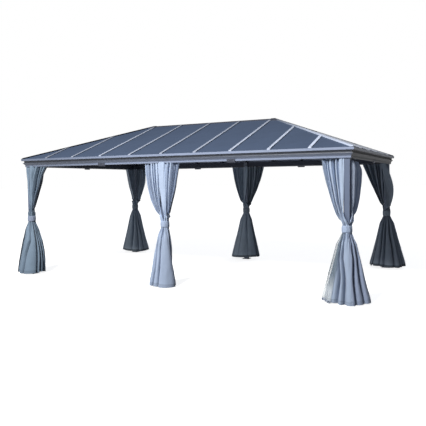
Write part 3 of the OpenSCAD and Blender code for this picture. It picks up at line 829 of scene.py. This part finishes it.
BUNDLES = {
    "front_right": dict(post=(PX, -PY), mx=0, my=0, corner=1, tie=1.005, sk=(0.0, 0.02, 0.325, 0.275), hem=0.022, panels=[
        dict(seed=11, half=(-113, 42), reach=[(0, .345), (.15, .325), (.33, .285), (.64, .205), (.89, .125), (1, .085)],
             top=[3.2, .9, .9, .8, .7, .7, .6], hemw=[1.1, .8, 1.75, .85, .85, .85, .85], low=[.008, .006, 0, 0, 0, 0, 0], bulge=0.01, uin=-0.014,
             crease_shade_up=0.1, dep=[1, 1.0, 1.1, 1.0, 1.0, 1.0, 1.0, 1.0], dep2=[1.1, 1.1, 1.0, 1.1, 1.0, 1.0, 1.0, 1.0], inset=[0, .5, .2, .6, .5, .2, .4], skirt_shade=1.7),
        dict(seed=12, half=(-157, 42), mat="cloth_side", crease_shade_up=0.25, drop=0.05, reach=[(0, .27), (.05, .36), (.11, .46), (.18, .50), (.32, .48), (.55, .36), (.8, .20), (1, .09)],
             top=[1.5, 1.2, .9, 1.1, .9, 1.0, .8], hemw=[.6, .8, 1.4, 1.05, 1.05, 1.05, 1.05], bulge=0.0, flare=0.072, uin=-0.030, inset_up=3.0,
             dep2=[1.1, 1.1, 1.1, 1.1, 1.0, 1.0, 1.0, 1.0], inset=[0, 1.0, .1, .8, .2, .5, .4], skirt_shade=4.6)]),
    "front_middle": dict(post=(0, -PY), mx=0, my=0, corner=0, tie=0.99, sk=(-0.035, -0.045, 0.26, 0.22), hem=0.018, width=0.95, panels=[
        dict(seed=21, half=(-106, 87), mat="cloth_front", skirt_shade=1.3, crease_shade_up=0.9, reach=[(0, .335), (.18, .32), (.45, .27), (.64, .222), (.82, .14), (.92, .10), (1, .070)],
             top=[.9, 1.2, .7, 1.3, .6, .9, .8], hemw=[.45, .9, .5, .9, 1.6, 1.8, 1.8], bulge=0.02, vo=-0.01, uin=0.012,
             dep2=[1.3, 1.3, 1.3, 1.3, 1.2, 1.0, 1.0, 1.0], open=[.6, .6, .6, .6, .8, 1, 1, 1]),
        dict(seed=22, half=(-74, 87), mat="cloth_front", skirt_shade=1.5, crease_shade_up=0.9, reach=[(0, .31), (.18, .275), (.45, .215), (.64, .155), (.82, .105), (1, .072)],
             top=[5.4, 1.4, 1.2, .8, .7, .6, .6], hemw=[6.6, .9, .7, .8, .7, .6, .8], bulge=0.0, vo=-0.022, uin=-0.122,
             dep=[1.1, 1.3, 1.2, 1.0, 1.0, 1.0, 1.0, 1.0], inset=[0, .3, .2, .6, .4, .5, .2])]),
    "front_left": dict(post=(-PX, -PY), mx=1, my=0, corner=1, tie=1.015, sk=(0.045, -0.01, 0.28, 0.245), hem=0.032, panels=[
        dict(seed=31, half=(-132, 42), prof=FL_PROF, cprof=FL_CENTRE, snug=0.14, room_up=0.0065, uin=-0.094, vo=-0.018, crease_shade_up=0.9, dep=[1.0, 1.3, 1.2, 1.0, 1.1, 1.0, 1.0, 1.0], reach=[(0, .445), (.13, .36), (.23, .30), (.42, .225), (.58, .155), (.74, .108), (.86, .080), (1, .070)],
             top=[1.6, 2.4, 1.0, .8, 1.0, .8, .9], hemw=[1.0, .9, 3.3, 1.0, .8, .7, .7]),
        dict(seed=32, half=(-132, 42), prof=FL_PROF, cprof=FL_CENTRE, snug=0.14, room_up=0.0065, reach=[(0, .35), (.3, .30), (.6, .19), (.8, .11), (.9, .080), (1, .070)], top=folds(33, 7), hemw=folds(34, 7), bulge=0.02)]),
    "back_left": dict(post=(-PX, PY), mx=1, my=1, corner=1, tie=1.08, sk=(-0.025, 0.03, 0.35, 0.285), hem=0.057, panels=[
        dict(seed=41, snug=0.14, room_up=0.006, crease_shade_up=0.25, mat="cloth_back", turn="C", mx=0, my=0, half=(-8, 132), reach=[(0, .355), (.35, .325), (.5, .28), (.7, .215), (.84, .150), (.93, .10), (1, .072)], top=folds(41, 7), hemw=folds(42, 7), bulge=0.02),
        dict(seed=42, snug=0.14, room_up=0.006, crease_shade_up=0.25, mat="cloth_back", turn="B", mx=0, my=1, half=(-80, 132), reach=[(0, .33), (.3, .28), (.5, .215), (.65, .15), (.77, .108), (.88, .082), (1, .07)], top=folds(43, 7), hemw=folds(44, 7), bulge=0.02)]),
    "back_middle": dict(post=(0, PY), mx=0, my=1, corner=0, tie=1.045, sk=(-0.015, 0.02, 0.33, 0.275), hem=0.062, width=1.0, panels=[
        dict(seed=51, snug=0.14, room_up=0.006, crease_shade_up=0.25, mat="cloth_back", turn="A", mx=0, my=0, half=(-156, 87), reach=[(0, .30), (.3, .25), (.55, .195), (.8, .125), (.91, .088), (1, .070)], top=[1.8, .8, 1.0, .7, 1.0, .7, .8], hemw=[1.5, 1.0, .7, 1.0, .7, .9, .8], bulge=0.02, vo=-0.022, uin=-0.100),
        dict(seed=52, snug=0.14, room_up=0.006, crease_shade_up=0.25, mat="cloth_mid", turn="C", mx=0, my=0, half=(-24, 87), reach=[(0, .425), (.3, .365), (.55, .28), (.78, .17), (.9, .105), (1, .072)], top=folds(53, 7), hemw=folds(54, 7), bulge=0.02, uin=-0.010)]),
    "back_right": dict(post=(PX, PY), mx=0, my=1, corner=1, tie=1.035, sk=(0.03, 0.05, 0.34, 0.315), hem=0.052, panels=[
        dict(seed=61, crease_shade_up=0.25, mat="cloth_back_right", turn="A", mx=0, my=0, half=(-42, 132), snug=0.14, room_up=0.0065, reach=[(0, .45), (.12, .40), (.3, .33), (.5, .25), (.75, .15), (.9, .092), (1, .070)], top=folds(61, 7), hemw=folds(62, 7), bulge=0.02, uin=-0.012),
        dict(seed=62, crease_shade_up=0.25, mat="cloth_back_right", half=(-132, 42), reach=[(0, .45), (.3, .38), (.6, .26), (.85, .14), (1, .072)], top=folds(63, 7), hemw=folds(64, 7), bulge=0.115, bq=0.98, wrap=0.15, snug=0.14, room_up=0.0065)]),
}

HEADS = []
for nm, d in BUNDLES.items():
    d["seeds"] = [p["seed"] for p in d["panels"]]
    for k, cfg in enumerate(d["panels"]):
        turn = cfg.get("turn") or ("A" if k == 0 else ("B" if d["corner"] else "C"))
        wide = d.get("width", CLOTH_W)
        mat = M[cfg.get("mat", {"front_right": "cloth_right", "front_left": "cloth_left"}.get(nm, "cloth"))]
        o, V, W, grid = fold_sheet("curtain_%s_%s" % (nm, "ab"[k]), d, turn, cfg, mat, flat_w=wide, top=TOP - cfg.get("drop", 0.0))
        if k == 0:
            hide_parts("curtain_" + nm)
        x0, y0 = d["post"]
        along_x = turn in ("A", "C")
        row = W[2]
        near = []
        span = (row[:, 0] - x0) if along_x else (row[:, 1] - y0)
        far = float(span[np.abs(span).argmax()])
        for q_ in np.linspace(0.14, 0.96, 9):
            a_ = far * q_
            if abs(a_) < 0.062:
                continue
            near.append((x0 + a_, y0 + math.copysign(RAIL_OUT, y0)) if along_x else (x0 + math.copysign(RAIL_OUT, x0), y0 + a_))
        HEADS.append((near, (0.0, 1.0) if along_x else (1.0, 0.0), cfg.get("drop", 0.0)))

# ------------------------------------------------------------------ tie bands

def tie_band(nm, d):
    x0, y0 = d["post"]
    n, m = 96, 14
    g = rng(d["seeds"][0] + 100)
    ph = g.uniform(0, 6.28, 5)
    vs = []
    for j in range(m):
        t = j / (m - 1)
        for i in range(n):
            f = 2 * math.pi * i / n
            r = 0.0688 + 0.0016 * math.sin(9 * f + ph[0] + 3 * t) + 0.0012 * math.sin(17 * f + ph[1]) + 0.0022 * math.sin(math.pi * t) - 0.002 * (2 * t - 1) ** 4
            z = d["tie"] + (t - 0.5) * TIE_H * (0.96 + 0.02 * math.sin(3 * f + ph[2]))
            vs.append((x0 + r * math.cos(f), y0 + r * math.sin(f), z + 0.003 * math.sin(2 * f + ph[3])))
    fs = [(j * n + i, j * n + (i + 1) % n, (j + 1) * n + (i + 1) % n, (j + 1) * n + i) for j in range(m - 1) for i in range(n)]
    o = mesh_object("tie_" + nm, vs, fs, M["tie_back" if nm.startswith("back") else "tie_left" if nm == "front_left" else "tie"])
    uvl = o.data.uv_layers.new(name="UVMap")
    for lp in o.data.loops:
        j, i = divmod(lp.vertex_index, n)
        uvl.data[lp.index].uv = (i / n * 0.45, j / (m - 1) * TIE_H)
    sol = o.modifiers.new("thick", "SOLIDIFY")
    sol.thickness = 0.002
    sol.offset = -1
    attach(o, "root")
    return o


ties = [tie_band(nm, d) for nm, d in BUNDLES.items()]
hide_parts("tie_bands")

# ------------------------------------------------------------------ netting beside the front right curtain

def net_material(name, rgb, cell=0.0042, wire=0.28):
    """Insect netting: square threads with open cells, a closed bound hem."""
    m, nt, p = new_mat(name)
    tc = nt.nodes.new("ShaderNodeTexCoord")
    sc = nt.nodes.new("ShaderNodeVectorMath")
    sc.operation = "SCALE"
    sc.inputs["Scale"].default_value = 1.0 / cell
    nt.links.new(tc.outputs["UV"], sc.inputs[0])
    fr = nt.nodes.new("ShaderNodeVectorMath")
    fr.operation = "FRACTION"
    nt.links.new(sc.outputs[0], fr.inputs[0])
    sep = nt.nodes.new("ShaderNodeSeparateXYZ")
    nt.links.new(fr.outputs[0], sep.inputs[0])
    hit = []
    for ax in ("X", "Y"):
        c = nt.nodes.new("ShaderNodeMath")
        c.operation = "LESS_THAN"
        c.inputs[1].default_value = wire
        nt.links.new(sep.outputs[ax], c.inputs[0])
        hit.append(c.outputs[0])
    mx = nt.nodes.new("ShaderNodeMath")
    mx.operation = "MAXIMUM"
    nt.links.new(hit[0], mx.inputs[0])
    nt.links.new(hit[1], mx.inputs[1])
    uvy = nt.nodes.new("ShaderNodeSeparateXYZ")
    nt.links.new(tc.outputs["UV"], uvy.inputs[0])
    hem = nt.nodes.new("ShaderNodeMath")
    hem.operation = "LESS_THAN"
    hem.inputs[1].default_value = 0.035
    nt.links.new(uvy.outputs["Y"], hem.inputs[0])
    al = nt.nodes.new("ShaderNodeMath")
    al.operation = "MAXIMUM"
    nt.links.new(mx.outputs[0], al.inputs[0])
    nt.links.new(hem.outputs[0], al.inputs[1])
    c = lin(rgb)
    clouds = noise(nt, obj_coords(nt), 30.0, 3)
    col = mixc(nt, ramp(nt, clouds, [(0.3, 0.0), (0.7, 1.0)]), [v * 0.86 for v in c], c)
    up = nt.nodes.new("ShaderNodeMapRange")
    up.inputs["From Min"].default_value, up.inputs["From Max"].default_value = 0.16, 0.36
    nt.links.new(uvy.outputs["Y"], up.inputs["Value"])
    col = mixc(nt, up.outputs[0], col, lin((92, 106, 114)))
    dash = nt.nodes.new("ShaderNodeTexNoise")
    dash.inputs["Scale"].default_value = 34.0
    nt.links.new(tc.outputs["UV"], dash.inputs["Vector"])
    dk = mixc(nt, ramp(nt, dash.outputs["Fac"], [(0.42, 0.0), (0.52, 1.0)]), lin((66, 74, 88)), lin((150, 160, 176)))
    col2 = mixc(nt, hem.outputs[0], col, dk)
    nt.links.new(col2, p.inputs["Base Color"])
    p.inputs["Roughness"].default_value = 0.7
    trans = nt.nodes.new("ShaderNodeBsdfTransparent")
    mix = nt.nodes.new("ShaderNodeMixShader")
    nt.links.new(al.outputs[0], mix.inputs[0])
    nt.links.new(trans.outputs[0], mix.inputs[1])
    nt.links.new(p.outputs[0], mix.inputs[2])
    nt.links.new(mix.outputs[0], nt.nodes["Material Output"].inputs[0])
    return m


M["net"] = net_material("insect_netting", (224, 230, 232))
NET_W, NET_L = 0.42, 0.92


def netting():
    """A gathered flap of netting that hangs outside the left side of the front right curtain, from the tie to the hem."""
    d = BUNDLES["front_right"]
    g = rng(901)
    nu_, nz_ = 120, 90
    zb = d["tie"] - TIE_H / 2
    hem = 0.030
    cx, cy, ea, eb = d["sk"]
    ph = g.uniform(0, 6.28, 6)
    vs, uvs, area = [], [], 0.0
    for j in range(nz_):
        t = j / (nz_ - 1)
        z = zb + (hem - zb) * t
        kk = float(table(t, PROF))
        ax, by = RING + (ea - RING) * kk, RING + (eb - RING) * kk
        for i in range(nu_):
            x = i / (nu_ - 1)
            f = math.radians(-119 - (44 + 8 * t) * x)
            w = math.sin(2 * math.pi * (6.5 * x + 0.25 * math.sin(2.2 * t + ph[0])) + ph[1]) * 0.60 + 0.4 * math.sin(2 * math.pi * 11.2 * x + ph[2] + 2.0 * t)
            w2 = math.sin(2 * math.pi * 3.0 * t + 5 * x + ph[3]) * 0.003
            off = 0.0045 + (0.0015 + 0.0085 * t) * (1 + w) + w2 * t
            u, v = cx * kk + (ax + off) * math.cos(f), cy * kk + (by + off) * math.sin(f)
            rag = 0.012 * t ** 3 * math.sin(9 * x + ph[4])
            vs.append((d["post"][0] + u, d["post"][1] + v, max(0.010, z + rag)))
            uvs.append((x * NET_W, (1 - t) * NET_L))
    fs = [(j * nu_ + i, j * nu_ + i + 1, (j + 1) * nu_ + i + 1, (j + 1) * nu_ + i) for j in range(nz_ - 1) for i in range(nu_ - 1)]
    o = mesh_object("curtain_netting_flap", vs, fs, M["net"])
    uvl = o.data.uv_layers.new(name="UVMap")
    for lp in o.data.loops:
        uvl.data[lp.index].uv = uvs[lp.vertex_index]
    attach(o, "root")
    return o


net = netting()

# ------------------------------------------------------------------ small fittings

M["zinc"] = painted("zinc_fixing", (150, 154, 162), rough=0.35, var=0.08, streak=(6, 6, 6), dirt=0.35, dirt_rgb=(96, 84, 72))
M["nylon"] = painted("glider_nylon", (70, 74, 82), rough=0.5, var=0.05, dirt=0.3)


def axes_of(nrm):
    n = Vector(nrm).normalized()
    a = n.orthogonal().normalized()
    return a, n.cross(a), n


def lathe(centre, nrm, prof, seg=12):
    """A turned part: prof is a list of (radius, height) along nrm."""
    a, b, n = axes_of(nrm)
    c = Vector(centre)
    vs, fs = [], []
    for r, h in prof:
        for k in range(seg):
            f = 2 * math.pi * k / seg
            vs.append(c + a * (r * math.cos(f)) + b * (r * math.sin(f)) + n * h)
    for j in range(len(prof) - 1):
        for k in range(seg):
            k2 = (k + 1) % seg
            fs.append((j * seg + k, j * seg + k2, (j + 1) * seg + k2, (j + 1) * seg + k))
    fs.append(tuple(range(seg - 1, -1, -1)))
    fs.append(tuple((len(prof) - 1) * seg + k for k in range(seg)))
    return vs, fs


def tube(pts, r, seg=6):
    vs, fs = [], []
    pts = [Vector(p) for p in pts]
    for i, p in enumerate(pts):
        tdir = (pts[min(i + 1, len(pts) - 1)] - pts[max(i - 1, 0)]).normalized()
        a, b, n = axes_of(tdir)
        if i:
            a = (prev - n * prev.dot(n)).normalized()
            b = n.cross(a)
        prev = a
        for k in range(seg):
            f = 2 * math.pi * k / seg
            vs.append(p + a * (r * math.cos(f)) + b * (r * math.sin(f)))
    for i in range(len(pts) - 1):
        for k in range(seg):
            k2 = (k + 1) % seg
            fs.append((i * seg + k, i * seg + k2, (i + 1) * seg + k2, (i + 1) * seg + k))
    fs.append(tuple(range(seg - 1, -1, -1)))
    fs.append(tuple((len(pts) - 1) * seg + k for k in range(seg)))
    return vs, fs


def islands(prefix):
    """The separate solids of the CAD nodes of that name, each as an array of its corners in the frame."""
    out = []
    for n in sorted(NODES):
        if n == prefix or n.startswith(prefix + "_"):
            out += solids_of(NODES[n])
    return out


def solids_of(o):
    me = o.data
    parent = list(range(len(me.vertices)))

    def root_of(i):
        while parent[i] != i:
            parent[i] = parent[parent[i]]
            i = parent[i]
        return i

    for e in me.edges:
        a, b = root_of(e.vertices[0]), root_of(e.vertices[1])
        if a != b:
            parent[a] = b
    # corners that coincide belong together
    seen = {}
    for v in me.vertices:
        k = tuple(round(c, 5) for c in v.co)
        if k in seen:
            a, b = root_of(seen[k]), root_of(v.index)
            if a != b:
                parent[a] = b
        else:
            seen[k] = v.index
    out = {}
    for v in me.vertices:
        out.setdefault(root_of(v.index), []).append(o.matrix_world @ v.co)
    return [np.array([tuple(p) for p in ps]) for ps in out.values()]


def strip_screws():
    """Domed screws with washers along the middle of every seam strip."""
    parts = []
    for pts in islands("seam_strips"):
        c = pts.mean(0)
        w, ev = np.linalg.eigh(np.cov((pts - c).T))
        run, nrm = ev[:, 2], ev[:, 0]
        if nrm[2] < 0:
            nrm = -nrm
        L = (pts - c) @ run
        top = ((pts - c) @ nrm).max()
        if L.max() - L.min() < 0.12:
            continue
        m = max(2, int((L.max() - L.min() - 0.10) / 0.34) + 1)
        for q in np.linspace(L.min() + 0.055, L.max() - 0.075, m):
            p = c + run * q + nrm * top
            parts.append(lathe(p, nrm, [(0.0085, -0.0012), (0.0085, 0.0012), (0.0062, 0.0016), (0.0058, 0.0030), (0.0040, 0.0046), (0.0014, 0.0052)], 10))
    o = join_meshes("seam_screws", parts, M["zinc"])
    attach(o, "root")


def anchor_bolts():
    """Hexagon bolts with washers in the holes of the foot plates."""
    parts = []
    for pts in islands("foot_plates"):
        lo, hi = pts.min(0), pts.max(0)
        cxy = (lo + hi) / 2
        for sx in (-1, 1):
            for sy in (-1, 1):
                p = (cxy[0] + sx * HOLE, cxy[1] + sy * HOLE, hi[2])
                parts.append(lathe(p, (0, 0, 1), [(0.0040, -0.0040), (0.0040, 0.0), (0.0105, 0.0), (0.0105, 0.0014), (0.0040, 0.0014)], 16))
                parts.append(lathe(p, (0, 0, 1), [(0.0072, 0.0012), (0.0076, 0.0020), (0.0076, 0.0060), (0.0068, 0.0068), (0.0030, 0.0070)], 6))
    o = join_meshes("anchor_bolts", parts, M["zinc"])
    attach(o, "root")


def trim_rivets():
    """Rivets round the gutter sleeves and the corner covers, except those that sit at a corner of the roof."""
    parts = []
    for name in ("gutter_joint_sleeves", "gutter_corner_covers"):
        for pts in islands(name):
            lo, hi = pts.min(0), pts.max(0)
            c = (lo + hi) / 2
            out = Vector((0, math.copysign(1, c[1]), 0)) if abs(c[1]) > 1.2 and abs(c[0]) < 2.9 else Vector((math.copysign(1, c[0]), 0, 0))
            if abs(c[1]) > 1.2 and abs(c[0]) >= 2.9:
                continue
            ax = 1 if abs(out[1]) > 0.5 else 0
            face = hi[ax] if out[ax] > 0 else lo[ax]
            other = 1 - ax
            for sgn in (-1, 1):
                for z in (hi[2] - 0.016,):
                    p = [0, 0, z]
                    p[ax] = face
                    p[other] = c[other] + sgn * (hi[other] - lo[other]) * 0.30
                    parts.append(lathe(p, out, [(0.0045, -0.0015), (0.0045, 0.0004), (0.0036, 0.0018), (0.0012, 0.0024)], 10))
    if parts:
        o = join_meshes("gutter_rivets", parts, M["zinc"])
        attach(o, "root")


def gliders():
    """Curtain gliders in the rails: a nylon wheel body and a bent wire hook down into each fold of the heading."""
    body, wire = [], []
    for row, v_, long_ in HEADS:
        for (x, y) in row:
            body.append(lathe((x, y, RAIL - 0.0105), (0, 0, 1), [(0.0030, 0.0), (0.0052, 0.0012), (0.0056, 0.0050), (0.0038, 0.0062), (0.0038, 0.0100)], 10))
            pts = []
            for k in range(9):
                f = math.pi * (0.5 - 1.25 * k / 8)
                pts.append((x + v_[0] * 0.0045 * math.cos(f), y + v_[1] * 0.0045 * math.cos(f), RAIL - 0.0165 + 0.0055 * math.sin(f)))
            if long_:
                s_ = 1 if v_[0] * x + v_[1] * y > 0 else -1
                q0 = pts[-1]
                for k in range(1, 7):
                    f = k / 6
                    pts.append((q0[0] + s_ * v_[0] * 0.020 * f ** 2, q0[1] + s_ * v_[1] * 0.020 * f ** 2, q0[2] - (long_ - 0.004) * f))
            wire.append(tube(pts, 0.0009))
    o = join_meshes("curtain_gliders", body, M["nylon"])
    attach(o, "root")
    o = join_meshes("glider_hooks", wire, M["zinc"])
    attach(o, "root")


strip_screws()
anchor_bolts()
trim_rivets()
gliders()
